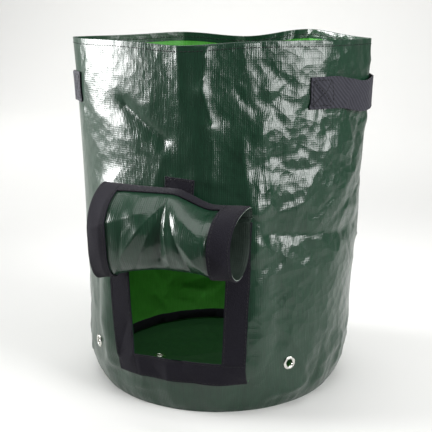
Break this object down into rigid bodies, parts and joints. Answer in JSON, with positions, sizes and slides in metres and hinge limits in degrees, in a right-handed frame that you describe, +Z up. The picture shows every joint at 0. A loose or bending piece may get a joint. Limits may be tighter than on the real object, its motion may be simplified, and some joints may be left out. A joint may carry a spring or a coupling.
{
  "type": "planter bag with harvest window",
  "caption": "Soft round planter bag of green woven sheet, open on top, with a harvest window whose flap is rolled up, webbing handles and drain eyelets.",
  "frame": {"origin": "centre of the round base, on the ground", "axes": "+Z up, the harvest window faces -Y, the handles are at -X and +X"},
  "size_m": [0.3991, 0.3963, 0.4588],
  "materials": {
    "tarpaulin": "dark green woven polyethylene sheet, glossy coated, creased",
    "black_tape": "matte black hook and loop or binding tape",
    "webbing": "charcoal twill-woven webbing",
    "nickel": "nickel-plated pressed steel"
  },
  "bodies": {
    "root": {"bag_wall": "tarpaulin", "bag_base": "tarpaulin", "window_flap": "tarpaulin", "handle_left": "webbing", "handle_right": "webbing", "base_seam_binding": "black_tape", "window_tape_left": "black_tape", "window_tape_right": "black_tape", "window_tape_sill": "black_tape", "flap_tape_left": "black_tape", "flap_tape_right": "black_tape", "flap_tape_edge": "black_tape", "flap_holder_tab": "black_tape", "wall_eyelet_1": "nickel", "wall_eyelet_2": "nickel", "wall_eyelet_washer_1": "nickel", "wall_eyelet_washer_2": "nickel", "floor_eyelet_1": "nickel", "floor_eyelet_2": "nickel", "floor_eyelet_washer_1": "nickel", "floor_eyelet_washer_2": "nickel"}
  },
  "joints": []
}
